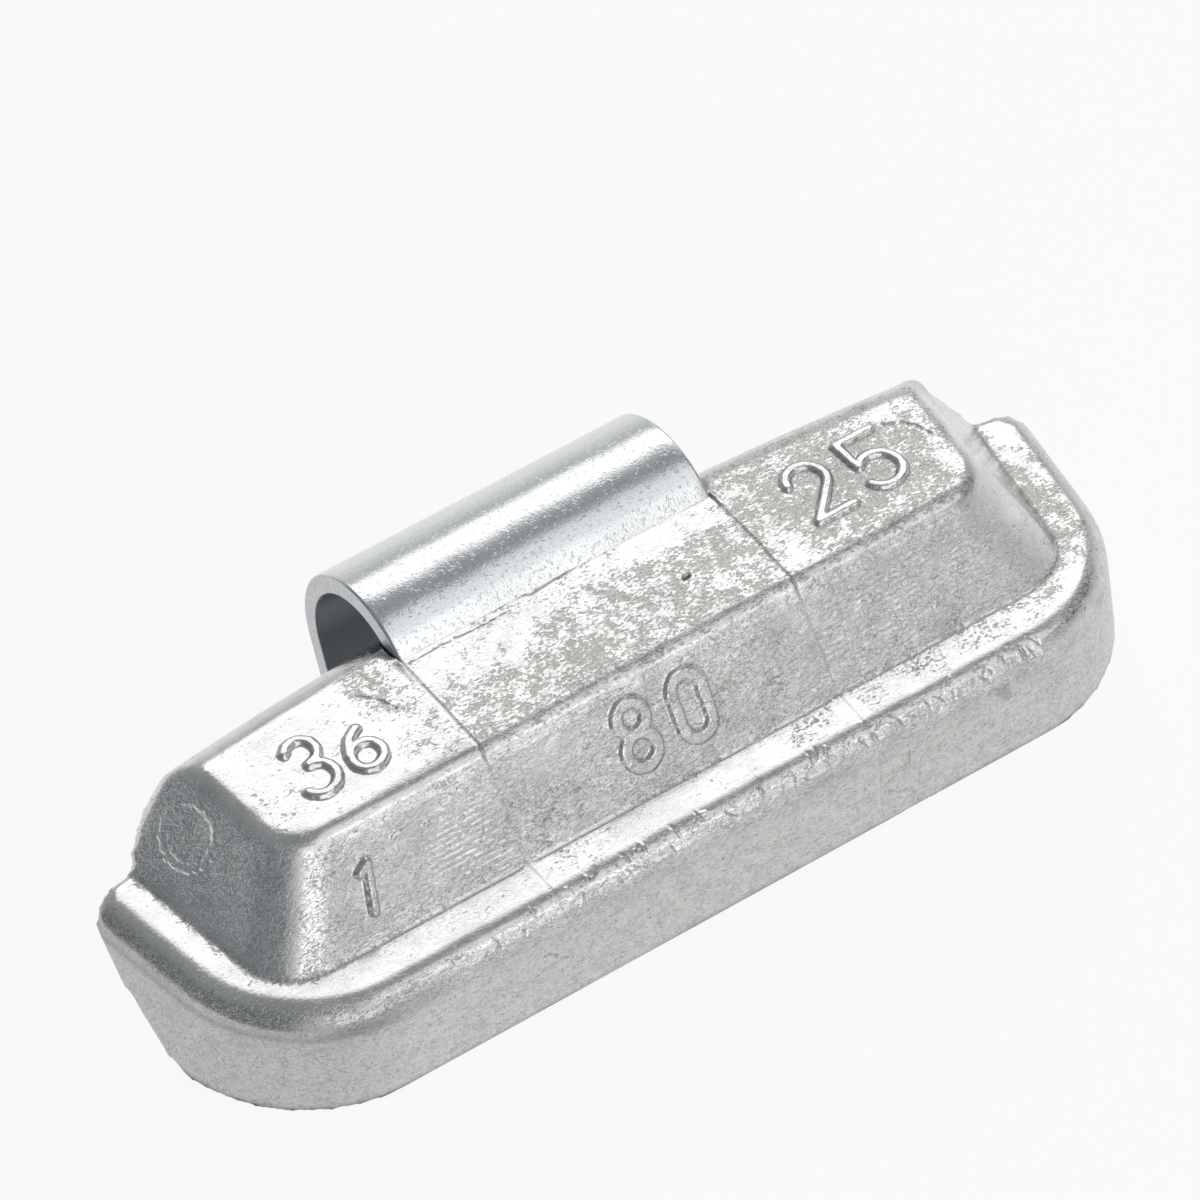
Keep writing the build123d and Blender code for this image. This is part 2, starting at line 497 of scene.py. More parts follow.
MARKS = [
    numeral("80", FRONT_SLOPE, corner=(-3.07, 1.75), size=(2.04, 4.0), gap=1.88,
            height=0.22, base=0.54, crest=0.24, side_stain=0.08),
    numeral("1", FRONT_SLOPE, corner=(-21.75, 1.85), size=(1.1, 2.85), gap=0.0, slant=12,
            height=0.34, base=0.44, crest=0.12, side_stain=0.15),
    numeral("25", TOP_FACE, corner=(14.85, -9.0), size=(2.5, 4.3), gap=1.75,
            height=0.22, base=0.4, crest=0.17, side_stain=0.12, bright=0.9),
    numeral("36", TOP_FACE, corner=(-21.3, -9.5), size=(2.0, 4.3), gap=1.3, slant=5,
            height=0.24, base=0.42, crest=0.17, side_stain=0.12, bright=0.9),
    # Cracks, a cold shut and knocks on the front wall and its rounding
    groove(FRONT_FACE, [(13.04, 4.92), (12.98, 3.87)], middle_stain=0.3),
    groove(FRONT_FACE, [(12.72, 3.95), (12.26, 3.87), (11.11, 3.12)], middle_stain=0.2),
    groove(FRONT_FACE, [(15.27, 4.06), (14.43, 4.14), (13.83, 3.79), (13.61, 2.31)], middle_stain=0.2),
    groove(FRONT_FACE, [(11.23, 2.9), (12.22, 2.0), (13.11, 1.67), (13.44, 0.52)], middle_stain=0.2),
    groove(FRONT_FACE, [(-12.9, 4.5), (-12.4, 4.1), (-12.1, 3.6), (-11.5, 3.4)], middle_stain=0.4),
    Mark(FRONT_FACE, [[(19.0, 5.9), (20.2, 5.75), (20.3, 4.9), (19.6, 5.6)]],
         height=-0.05, base=0.3, crest=0.2, middle_stain=0.25),
    Mark(FRONT_FACE, [[(12.6, 0.0), (14.1, 0.0)]], height=-0.2, base=0.4, crest=0.1, middle_stain=0.5),
    dents(FRONT_ROUND, count=44, seed=7, across=(-20, 23), up=(-0.9, 1.0),
          height=-0.028, base=0.13, crest=0.03, middle_stain=0.06),
    dents(FRONT_ROUND, count=30, seed=11, across=(-16, 23), up=(-0.9, 1.0),
          height=0.032, base=0.14, crest=0.04),
    # Ejector mark, specks, scratches and a pit
    Mark(LEFT_SLOPE, [arc((0, 0), 1.95, 0, 360)], height=0.024, base=0.28, crest=0.1, wobble=0.25),
    Mark(LEFT_SLOPE, [arc((0.05, -0.05), 1.4, 120, 330)], height=0.014, base=0.25, crest=0.1, wobble=0.25),
    Mark(FRONT_SLOPE, [[(-18.5, 5.25), (-18.2, 5.4), (-17.9, 5.3)], [(-16.3, 5.0), (-16.1, 5.0)]],
         height=0.1, base=0.2, crest=0.05),
    groove(TOP_FACE, [(-11.0, -4.15), (-8.4, -4.1), (-6.0, -4.2), (-4.2, -4.15)],
           depth=0.02, middle_stain=0.2),
    groove(TOP_FACE, [(-14.7, -4.6), (-14.0, -5.4), (-13.5, -6.6)], middle_stain=0.45),
    groove(TOP_FACE, [(22.5, -4.9), (23.4, -5.3), (24.0, -6.0), (24.4, -7.2)], middle_stain=0.35),
    Mark(TOP_FACE, [[(5.85, -8.0), (6.1, -7.95)]], height=-0.14, base=0.22, crest=0.05, middle_stain=0.95),
]

# Lines left by the joints between the die's inserts, in planes across the weight: X and depth on the top face
DIE_LINES = ((-11.3, 0.035), (10.9, 0.04))
DIE_LINE_WIDTH = 0.08
DIE_LINE_ELSEWHERE = 0.27    # share of that depth on the other faces
DIE_LINE_REACH = 1.0         # the lines are cut no further than this from their planes
DIE_LINE_WANDER = 0.09       # they wander this far off their planes
DIE_LINE_WAVES = 0.35        # in this many waves in a millimetre
DIE_LINE_SHADE = 12           # painted shade in them, for each millimetre of depth


def die_line_place(line, points):
    """Distance from a die line, which wanders a little."""
    wander = np.array([noise.noise((line, p[1] * DIE_LINE_WAVES, p[2] * DIE_LINE_WAVES)) for p in points])
    return points[:, 0] - line - DIE_LINE_WANDER * wander


# Share of broken skin on each face
TOP_BROKEN = (0.14, 0.5, 0.56)     # left of the die lines, between them and right of them
LEDGE_BROKEN = 0.05
CREASE_BROKEN = 0.5          # added along the foot of the block
FRINGE_BROKEN = 0.3          # added where the ledge starts to turn
SLOPE_BROKEN = 0.3
SIDES_BROKEN = 0.2
WALL_BROKEN = 0.16

# Patches of it: middle, half sizes and the share there
TOP_SKIN = (
    (-13.2, -4.3, 2.4, 3.0, 0.5), (-13.0, -9.6, 2.0, 1.8, 0.36), (-23.5, -9.5, 1.6, 1.6, 0.3),
    (-7.4, -4.9, 5.0, 2.2, 0.2), (0.0, -3.8, 6.0, 1.3, 0.3), (7.0, -4.3, 4.6, 1.4, 0.2),
    (-2.0, -9.7, 2.8, 1.7, 0.6), (4.0, -7.0, 1.5, 1.1, 0.56), (8.4, -7.2, 1.8, 1.2, 0.54),
    (12.2, -9.6, 1.2, 2.2, 0.28), (23.6, -4.0, 1.7, 1.0, 0.3), (24.4, -9.2, 0.9, 2.4, 0.32),
    (18.0, -7.0, 4.6, 2.8, 0.74),
)
LEDGE_SKIN = (
    (-12.0, -17.3, 7.5, 1.8, 0.12), (-8.0, -17.3, 2.2, 1.5, 0.24), (8.0, -16.9, 1.6, 1.3, 0.34),
    (13.0, -17.6, 1.8, 1.0, 0.3), (16.6, -17.0, 1.8, 1.5, 0.42), (20.6, -17.4, 2.0, 1.1, 0.34),
    (24.5, -16.0, 2.4, 2.0, 0.5), (28.6, -10.0, 2.8, 6.0, 0.62),
)
SLOPE_SKIN = (
    (-18.0, 4.0, 4.5, 2.6, 0.2), (-8.0, 5.0, 2.6, 1.5, 0.15), (10.0, 4.0, 2.4, 2.0, 0.18),
    (-10.0, 2.4, 3.0, 1.8, 0.42), (6.0, 4.0, 3.0, 2.6, 0.4), (17.0, 3.5, 5.0, 2.6, 0.3),
)
# Places on the front slope where the die's milling lines show, with their strength
SLOPE_LINES = ((-13.8, 2.9, 2.6, 1.9, 1.0), (17.5, 3.4, 5.5, 2.4, 0.7))
RAGGED_WAVES = 0.8           # waves of the patches' ragged rims in a millimetre
RAGGED_SHARE = 0.45          # how far they move the rims, as a share of a patch's half size

# Strength of the ripples and chips
SIDES_FEATHERS = 0.14
RIM_FEATHERS = 0.9
SLOPE_FEATHERS = (0.1, 1.6)  # anywhere on the slope, and times its share of broken skin
LEVEL_FEATHERS = (0.02, 0.12)      # the same on level faces

# Painted shade: shares of it, in creases, along the lap's lip, on the left wall and rim, and under the front
# rim
CREASE_SHADE = 0.02
LIP_SHADE = 0.75
LEFT_WALL_SHADE = 0.15
LEFT_RIM_SHADE = 0.3
UNDER_RIM_SHADE = 0.2

# Where a part of the skin starts and is full, as an upward or backward part of the normal
LEVEL = (0.8, 0.96)
FRINGE = (0.995, 0.97)
SLOPE_UP = (0.3, 0.5)
SLOPE_BACK = (-0.6, -0.75)
WALL_UP = (0.5, 0.2)
LOWER_RIM_UP = (0.85, 0.62)
# and as a height, or a place along X
RIM_HEIGHT = (5.2, 5.8)
WALL_HEIGHT = (6.6, 5.2)
SMOOTH_RIM_END = (-24, -29)


def patched(flat, start, patches, ragged):
    """Values at places on a face: a start value, changed by soft patches with ragged rims."""
    values = start
    for across, up, half_across, half_up, value in patches:
        away = np.hypot((flat[:, 0] - across) / half_across, (flat[:, 1] - up) / half_up)
        values = values + smooth_step(1.5, 0.5, away + RAGGED_SHARE * ragged) * (value - values)
    return values


# Body

def merged_copy(node):
    """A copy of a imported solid's mesh with its triangles joined up."""
    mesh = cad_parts[node].data.copy()
    joined = bmesh.new()
    joined.from_mesh(mesh)
    bmesh.ops.remove_doubles(joined, verts=joined.verts, dist=BODY_MERGE * MM)
    joined.to_mesh(mesh)
    joined.free()
    return mesh


def neighbour_mean(values, ends):
    """Mean of the values at each vertex's neighbours."""
    a, b = ends.T
    total = np.zeros_like(values)
    np.add.at(total, a, values[b])
    np.add.at(total, b, values[a])
    counts = np.bincount(ends.ravel(), minlength=len(values))
    return total / counts.reshape(-1, *[1] * (values.ndim - 1))


def curved_places(points, solid):
    """Nearest places on a solid and its normals there, with the bulge that its flat triangles leave out."""
    corner_normals = np.zeros(len(solid.loops) * 3, np.float32)
    solid.corner_normals.foreach_get("vector", corner_normals)
    faces = np.zeros(len(solid.loops), np.int32)
    solid.loops.foreach_get("vertex_index", faces)
    faces = faces.reshape(-1, 3)
    solid_places = vertex_array(solid)
    tree = BVHTree.FromPolygons(solid_places.tolist(), faces.tolist())
    found = [tree.find_nearest(point)[:3:2] for point in points]
    flat = np.array([place for place, _ in found])
    face = np.array([index for _, index in found])
    corners = solid_places[faces[face]]
    normals = corner_normals.reshape(-1, 3, 3).astype(float)[face]
    first, second, third = (corners[:, i] - flat for i in range(3))
    areas = np.stack([np.cross(second, third), np.cross(third, first), np.cross(first, second)], 1)
    shares = np.linalg.norm(areas, axis=2)
    shares /= shares.sum(1)[:, None]
    # Half of the way to each corner's tangent plane gives the true arc
    below = ((flat[:, None] - corners) * normals).sum(2)
    bulge = -0.5 * ((shares * below)[..., None] * normals).sum(1)
    smooth = (shares[..., None] * normals).sum(1)
    return flat + bulge, smooth / np.linalg.norm(smooth, axis=1)[:, None]


def snap_to_crease(places, normals, ends):
    """Moves the nearer end of each edge that crosses an inner crease along its own side onto the crease."""
    moves = []
    for here, there in (ends.T, ends.T[::-1]):
        across = (normals[here] * normals[there]).sum(1)[:, None]
        inward = normals[there] - across * normals[here]
        gap = ((places[there] - places[here]) * normals[there]).sum(1)
        moves.append((gap / (inward * normals[there]).sum(1))[:, None] * inward)
    nearer = np.argmin(np.linalg.norm(moves, axis=2), axis=0)
    for side in range(2):
        chosen = nearer == side
        places[ends[chosen, side]] += moves[side][chosen]


def follow_solid(mesh, solid):
    """Lays an even mesh back on its solid, rounds its sharp edges and paints a band along inner corners."""
    places, normals = curved_places(vertex_array(mesh), solid)
    ends = np.zeros(len(mesh.edges) * 2, np.int32)
    mesh.edges.foreach_get("vertices", ends)
    ends = ends.reshape(-1, 2)
    a, b = ends.T
    sharp = (normals[a] * normals[b]).sum(1) < cos(radians(SHARP_TURN))
    inner = sharp & (((places[b] - places[a]) * (normals[b] - normals[a])).sum(1) < 0)
    snap_to_crease(places, normals, ends[inner])
    soften = np.zeros(len(places), bool)
    soften[ends[sharp & ~inner].ravel()] = True
    grown = soften.copy()
    grown[a] |= soften[b]
    grown[b] |= soften[a]
    crease = np.zeros(len(places))
    crease[ends[inner].ravel()] = 1.0
    for _ in range(SOFTEN_STEPS):
        mean = neighbour_mean(places, ends)[grown]
        places[grown] = (1 - SOFTEN_SHARE) * places[grown] + SOFTEN_SHARE * mean
        crease = np.maximum(crease, CREASE_FADE * neighbour_mean(crease, ends))
    worn = np.zeros(len(places), bool)
    for side in (-1, 1):
        corner = np.array(WORN_CORNER) * MM * (side, 1, 1)
        worn |= (np.abs(places - corner) < WORN_REACH * MM).all(1)
    for _ in range(WORN_STEPS):
        places[worn] = neighbour_mean(places, ends)[worn]
    mesh.vertices.foreach_set("co", places.astype(np.float32).ravel())
    mesh.update()
    paint(mesh, "crease", crease)


def lap_line(across):
    """Y of the line where the lap's lip meets the clip, at places along X."""
    lip = np.interp(across, *zip(*LAP_LIP))
    outside = CURL_CENTRE[1] + CURL_RADIUS / cos(radians(ROOT_ANGLE))
    return CURL_CENTRE[0] + (TOP_HEIGHT + lip - outside) / tan(radians(ROOT_ANGLE))


def under_clip(points):
    """Which points lie between the ends of the lap, along X."""
    return np.abs(points[:, 0] - CLIP_OFFSET) < CLIP_WIDTH / 2 + 0.05


def on_lap(points, normals):
    """Which points lie on the lap or level with it between its ends."""
    level = (normals[:, 2] > LAP_LEVEL) & (points[:, 2] > TOP_HEIGHT - LAP_DEPTH)
    return under_clip(points) & level


def on_show(normals, up, back):
    """Which places look more upwards and less backwards than this."""
    return (normals[:, 2] > up) & (normals[:, 1] < back)


def cloudy(places, waves):
    """Noise at places, with this many of its largest waves in a millimetre."""
    roughness, finer, layers = 1.0, 2.0, 3
    return np.array([noise.fractal(p * waves, roughness, finer, layers) for p in places])


def refine(mesh, reach):
    """Halves the faces within reach of a mark's sides, a die line or the lap's lip."""
    shaped = bmesh.new()
    shaped.from_mesh(mesh)
    shaped.faces.ensure_lookup_table()
    centres = np.array([f.calc_center_median() for f in shaped.faces]) / MM
    normals = np.array([f.normal for f in shaped.faces])
    wanted = np.zeros(len(centres), bool)
    for mark in MARKS:
        away = mark.distance(centres)
        near = (away < mark.base + reach) & (away > mark.crest - reach)
        wanted |= near & (normals @ mark.face.normal > FACING)
    outside = on_show(normals, up=0.05, back=0.2)
    for line, _ in DIE_LINES:
        wanted |= outside & (np.abs(centres[:, 0] - line) < 0.1 + reach)
    lip = np.abs(centres[:, 1] - lap_line(centres[:, 0])) < reach
    wanted |= lip & on_lap(centres, normals)
    wanted |= np.linalg.norm(centres - BURR, axis=1) < BURR_SIZE + reach
    edges = {e for i in np.flatnonzero(wanted) for e in shaped.faces[i].edges}
    bmesh.ops.subdivide_edges(shaped, edges=list(edges), cuts=1, use_grid_fill=True)
    shaped.to_mesh(mesh)
    shaped.free()


def lower_lap(places):
    """Turns the solid's even lap into a lower one that rises to a ragged lip."""
    along = (places[:, 1] - LAP_FOOT) / LAP_RUN
    part = (along > LAP_PART[0]) & (along < LAP_PART[1])
    raised = under_clip(places) & part & (places[:, 2] > TOP_HEIGHT + 0.001)
    lip = np.interp(places[:, 0], *zip(*LAP_LIP)) * smooth_step(*LIP_RISE, along)
    places[raised, 2] = TOP_HEIGHT + lip[raised]


def edge_shade(places, normals, uneven):
    """Painted shade along the lower edge, on the left wall and rim, and under the front rim."""
    across, _, height = places.T
    _, back, up = normals.T
    edge = smooth_step(0.55, 0.28, height) * smooth_step(-0.98, -0.8, up) * (back < 0.2)
    left_wall = smooth_step(-22, -27, across) * smooth_step(0.3, 0.15, np.abs(up))
    below_ledge = height < LEDGE_HEIGHT
    left_rim = smooth_step(-17, -24, across) * smooth_step(5.3, 5.8, height) * smooth_step(0.93, 0.8, up)
    left_rim *= below_ledge
    under_rim = np.exp(-((up - 0.3) / 0.16) ** 2) * (height > 4.5) * below_ledge
    under_rim *= smooth_step(-0.6, -0.8, back) * np.clip(0.75 + 1.2 * uneven, 0, 1.3)
    stain = edge * np.clip(0.9 + 0.8 * uneven, 0, 1)
    return stain + LEFT_WALL_SHADE * left_wall + LEFT_RIM_SHADE * left_rim + UNDER_RIM_SHADE * under_rim


def shape_casting(mesh):
    """Moves the refined mesh to the casting's relief, and says where shade is painted and where it is bright.
    """
    places = vertex_array(mesh) / MM
    normals = vertex_array(mesh, "normal")
    outside = on_show(normals, up=0.02, back=0.4)
    bright = np.zeros(len(places))
    # Painted shade: a faint band along the inner corners
    stain = CREASE_SHADE * vertex_values(mesh, "crease")

    lower_lap(places)
    from_lip = places[:, 1] - lap_line(places[:, 0])
    # Painted shadow: a thin dark line along the lap's lip, where the zinc meets the clip
    lip_shadow = np.exp(-((from_lip + 0.07) / 0.11) ** 2)
    stain += np.where(on_lap(places, normals), LIP_SHADE * lip_shadow, 0.0)

    uneven = cloudy(places, UNEVEN_WAVES)
    swell = np.where(places[:, 2] < LEDGE_HEIGHT + 0.3, SWELL_LOW, SWELL_HIGH)
    places += (np.where(outside, swell, 0.0) * uneven)[:, None] * normals

    for line, depth in DIE_LINES:
        near = np.flatnonzero(outside & (np.abs(places[:, 0] - line) < DIE_LINE_REACH))
        here = depth * np.where(places[near, 2] > TOP_HEIGHT - 0.5, 1.0, DIE_LINE_ELSEWHERE)
        cut = np.exp(-(die_line_place(line, places[near]) / DIE_LINE_WIDTH) ** 2)
        places[near] -= (here * cut)[:, None] * normals[near]
        # Painted shade in the die lines, as dark as they are deep
        stain[near] += DIE_LINE_SHADE * here * cut

    burr = BURR_HEIGHT * np.exp(-(np.linalg.norm(places - BURR, axis=1) / BURR_SIZE) ** 2)
    places += burr[:, None] * normals
    # The burr is also darkened, in step with its height
    stain += burr

    for mark in MARKS:
        relief = np.where(normals @ mark.face.normal > FACING, mark.relief(places), 0.0)
        places += (mark.height * relief)[:, None] * mark.face.normal
        # Painted shade on the flanks of raised strokes and in the middle of sunk ones
        stain += mark.side_stain * 4 * relief * (1 - relief) + mark.middle_stain * relief
        bright = np.maximum(bright, mark.bright * relief)

    # Painted shade along the lower edge, on the left wall and rim, and under the front rim
    stain += edge_shade(places, normals, uneven)
    mesh.vertices.foreach_set("co", (places * MM).astype(np.float32).ravel())
    mesh.update()
    return places, normals, np.clip(stain, 0, 1), bright


def paint_skin(mesh, places, normals, stain, bright):
    """Paints where the casting's skin is broken, rippled or dull, and where shade is painted."""
    across, _, height = places.T
    _, back, up = normals.T
    ragged = cloudy(places, RAGGED_WAVES)
    level = smooth_step(*LEVEL, up)
    high = smooth_step(LEDGE_HEIGHT + 1, TOP_HEIGHT - 1, height)
    on_slope, _ = FRONT_SLOPE.lay(places)
    front = smooth_step(*SLOPE_BACK, back) * (height > LEDGE_HEIGHT) * smooth_step(*SLOPE_UP, up)

    thirds = np.select([across < DIE_LINES[0][0], across < DIE_LINES[1][0]], TOP_BROKEN[:2], TOP_BROKEN[2])
    top = patched(places, thirds, TOP_SKIN, ragged)
    crease = vertex_values(mesh, "crease")
    ledge_start = LEDGE_BROKEN + CREASE_BROKEN * crease + FRINGE_BROKEN * smooth_step(*FRINGE, up)
    ledge = patched(places, ledge_start, LEDGE_SKIN, ragged)
    slope = patched(on_slope, np.full(len(places), SLOPE_BROKEN), SLOPE_SKIN, ragged)
    sides = SIDES_BROKEN + front * (slope - SIDES_BROKEN)
    flat = ledge + high * (top - ledge)
    flecks = sides + level * (flat - sides)
    wall = smooth_step(*WALL_HEIGHT, height) * smooth_step(*WALL_UP, np.abs(up))
    flecks = (flecks + wall * (WALL_BROKEN - flecks)) * (1 - bright)

    rim = smooth_step(*RIM_HEIGHT, height) * (height < LEDGE_HEIGHT - 0.02)
    rim = rim * (1 - 0.7 * smooth_step(*SMOOTH_RIM_END, across))
    rim *= 0.4 + 0.6 * smooth_step(*LOWER_RIM_UP, up)
    steep = SIDES_FEATHERS + RIM_FEATHERS * rim + front * (SLOPE_FEATHERS[0] + SLOPE_FEATHERS[1] * slope)
    feathers = (1 - level) * steep + level * (LEVEL_FEATHERS[0] + LEVEL_FEATHERS[1] * flat)

    paint(mesh, "flecks", flecks)
    paint(mesh, "feathers", feathers)
    paint(mesh, "wall", wall)
    paint(mesh, "stain", stain)
    paint(mesh, "milled", front * patched(on_slope, np.zeros(len(places)), SLOPE_LINES, ragged))


def cast_body(material):
    """The casting: an even mesh on its solid, with the relief and the skin that the solid leaves out."""
    solid = merged_copy("cast_body")
    source = new_object("cast_body_source", solid)
    even = source.modifiers.new("even mesh", "REMESH")
    even.mode = "VOXEL"
    even.voxel_size = BODY_VOXEL * MM
    mesh = plain_mesh(source, "cast_body_skin")
    bpy.data.objects.remove(source)
    follow_solid(mesh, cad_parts["cast_body"].data)
    for reach in REFINE_REACHES:
        refine(mesh, reach)
    paint_skin(mesh, *shape_casting(mesh))
    mesh.attributes.remove(mesh.attributes["crease"])
    mesh.materials.clear()
    mesh.materials.append(material)
    mesh.shade_smooth()
    body = new_object("cast_zinc_body", mesh)
    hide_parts("cast_body")
    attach(body, "root")
    return body


# Clip

def strip_section():
    """Outline across the strip: its width along X, its thickness along Y, with rounded edges."""
    half_width = CLIP_WIDTH / 2
    half_thick = STRIP_THICKNESS / 2
    flat = half_width - STRIP_EDGE
    run = np.linspace(-flat, flat, WIDTH_POINTS)
    points = [np.stack([run, np.full(len(run), -half_thick)], 1)]
    points.append(arc((flat, -half_thick + STRIP_EDGE), STRIP_EDGE, -90, 0)[1:])
    points.append(arc((flat, half_thick - STRIP_EDGE), STRIP_EDGE, 0, 90))
    points.append(np.stack([run[::-1], np.full(len(run), half_thick)], 1)[1:])
    points.append(arc((-flat, half_thick - STRIP_EDGE), STRIP_EDGE, 90, 180)[1:])
    points.append(arc((-flat, -half_thick + STRIP_EDGE), STRIP_EDGE, 180, 270)[:-1])
    return np.concatenate(points)


def strip_line():
    """Middle of the strip from its cast-in end to its free tip, as Y and Z."""
    radius = CURL_RADIUS - STRIP_THICKNESS / 2
    fine = np.radians(np.linspace(90 + ROOT_ANGLE, -LEG_LEAN, CURL_POINTS))
    curl = np.stack([CURL_CENTRE[0] + radius * np.cos(fine), CURL_CENTRE[1] + radius * np.sin(fine)], 1)
    root_way = np.array((cos(radians(ROOT_ANGLE)), sin(radians(ROOT_ANGLE))))
    leg_way = np.array((-sin(radians(LEG_LEAN)), -cos(radians(LEG_LEAN))))
    root = curl[0] - np.linspace(ROOT_LENGTH, ROOT_GAP, ROOT_POINTS)[:, None] * root_way
    along = 1 - np.linspace(1, 0, LEG_POINTS)[1:, None] ** TIP_CROWDING
    leg = curl[-1] + along * LEG_LENGTH * leg_way
    return np.concatenate([root, curl, leg])


def root_middle():
    """Middle of the cast-in root, as Y and Z."""
    turn = radians(90 + ROOT_ANGLE)
    out = np.array((cos(turn), sin(turn)))
    along = np.array((sin(turn), -cos(turn)))
    return np.array(CURL_CENTRE) + (CURL_RADIUS - STRIP_THICKNESS / 2) * out - ROOT_LENGTH / 2 * along


def curve_object(name, points, closed):
    """A straight-run curve through points, in metres."""
    data = bpy.data.curves.new(name, "CURVE")
    data.dimensions = "3D"
    spline = data.splines.new("POLY")
    spline.points.add(len(points) - 1)
    for point, place in zip(spline.points, points):
        point.co = (*(np.array(place) * MM), 1.0)
    spline.use_cyclic_u = closed
    return new_object(name, data)


def strip_tree():
    """Geometry nodes that sweep the strip's section along its line and round the free tip's corners."""
    tree = bpy.data.node_groups.new("bent_strip", "GeometryNodeTree")
    kinds = {
        "Geometry": "Geometry", "Section": "Object", "Half width": "Float", "Middle": "Float",
        "Tip corner": "Float", "Hole diameter": "Float", "Hole spacing": "Float", "Hole depth": "Float",
        "Hole place": "Vector", "Hole turn": "Float", "Wave height": "Float", "Wave length": "Float",
        "Finish": "Material",
    }
    for name, kind in kinds.items():
        tree.interface.new_socket(name, in_out="INPUT", socket_type="NodeSocket" + kind)
    tree.interface.new_socket("Geometry", in_out="OUTPUT", socket_type="NodeSocketGeometry")
    given = add(tree, "NodeGroupInput").node.outputs

    # Distance left to the free tip, kept on the line before it is swept
    travelled = add(tree, "GeometryNodeSplineParameter", out="Length")
    whole = add(tree, "GeometryNodeCurveLength", {"Curve": given["Geometry"]})
    left = add(tree, "ShaderNodeMath", {0: whole, 1: travelled}, operation="SUBTRACT")
    keep = add(tree, "GeometryNodeCaptureAttribute", {"Geometry": given["Geometry"]}).node
    keep.capture_items.new("FLOAT", "left")
    tree.links.new(left, keep.inputs["left"])
    section = add(tree, "GeometryNodeObjectInfo", {"Object": given["Section"]}, out="Geometry")
    swept = add(tree, "GeometryNodeCurveToMesh", {
        "Curve": keep.outputs["Geometry"], "Profile Curve": section, "Fill Caps": True})

    # Round corners: the width draws in along a quarter circle near the tip
    place = add(tree, "GeometryNodeInputPosition")
    across = add(tree, "ShaderNodeSeparateXYZ", {"Vector": place})
    value = {
        "left": keep.outputs["left"], "corner": given["Tip corner"], "half": given["Half width"],
        "middle": given["Middle"], "across": across,
    }
    for name, first, second, operation in (
            ("near", "left", "corner", "MINIMUM"), ("short", "corner", "near", "SUBTRACT"),
            ("square", "short", "short", "MULTIPLY"), ("full", "corner", "corner", "MULTIPLY"),
            ("rest", "full", "square", "SUBTRACT"), ("round part", "rest", "rest", "SQRT"),
            ("inset", "corner", "round part", "SUBTRACT"), ("share", "inset", "half", "DIVIDE"),
            ("from middle", "middle", "across", "SUBTRACT"),
            ("drawn in", "from middle", "share", "MULTIPLY")):
        value[name] = add(tree, "ShaderNodeMath", {0: value[first], 1: value[second]}, operation=operation)
    shift = add(tree, "ShaderNodeCombineXYZ", {"X": value["drawn in"]})
    tipped = add(tree, "GeometryNodeSetPosition", {"Geometry": swept, "Offset": shift})

    # Two holes through the cast-in root
    radius = add(tree, "ShaderNodeMath", {0: given["Hole diameter"], 1: 0.5}, operation="MULTIPLY")
    pin = add(tree, "GeometryNodeMeshCylinder", {
        "Vertices": HOLE_SIDES, "Radius": radius, "Depth": given["Hole depth"]})
    apart = add(tree, "ShaderNodeCombineXYZ", {"X": given["Hole spacing"]})
    row = add(tree, "GeometryNodeMeshLine", {
        "Count": 2, "Start Location": given["Hole place"], "Offset": apart})
    turn = add(tree, "ShaderNodeCombineXYZ", {"X": given["Hole turn"]})
    pins = add(tree, "GeometryNodeInstanceOnPoints", {"Points": row, "Instance": pin, "Rotation": turn})
    real_pins = add(tree, "GeometryNodeRealizeInstances", {"Geometry": pins})
    holed = add(tree, "GeometryNodeMeshBoolean", {"Mesh 1": tipped, "Mesh 2": real_pins})

    # Slight waves that bending leaves in the strip
    fineness = add(tree, "ShaderNodeMath", {0: 1.0, 1: given["Wave length"]}, operation="DIVIDE")
    waves = add(tree, "ShaderNodeTexNoise", {"Vector": place, "Scale": fineness, "Detail": 1.0})
    centred = add(tree, "ShaderNodeMath", {0: waves, 1: 0.5}, operation="SUBTRACT")
    height = add(tree, "ShaderNodeMath", {0: centred, 1: given["Wave height"]}, operation="MULTIPLY")
    normal = add(tree, "GeometryNodeInputNormal")
    push = add(tree, "ShaderNodeVectorMath", {0: normal, "Scale": height}, operation="SCALE")
    waved = add(tree, "GeometryNodeSetPosition", {"Geometry": holed, "Offset": push})
    plain = add(tree, "GeometryNodeRealizeInstances", {"Geometry": waved})
    finished = add(tree, "GeometryNodeSetMaterial", {"Geometry": plain, "Material": given["Finish"]})
    add(tree, "NodeGroupOutput", {"Geometry": finished})
    return tree


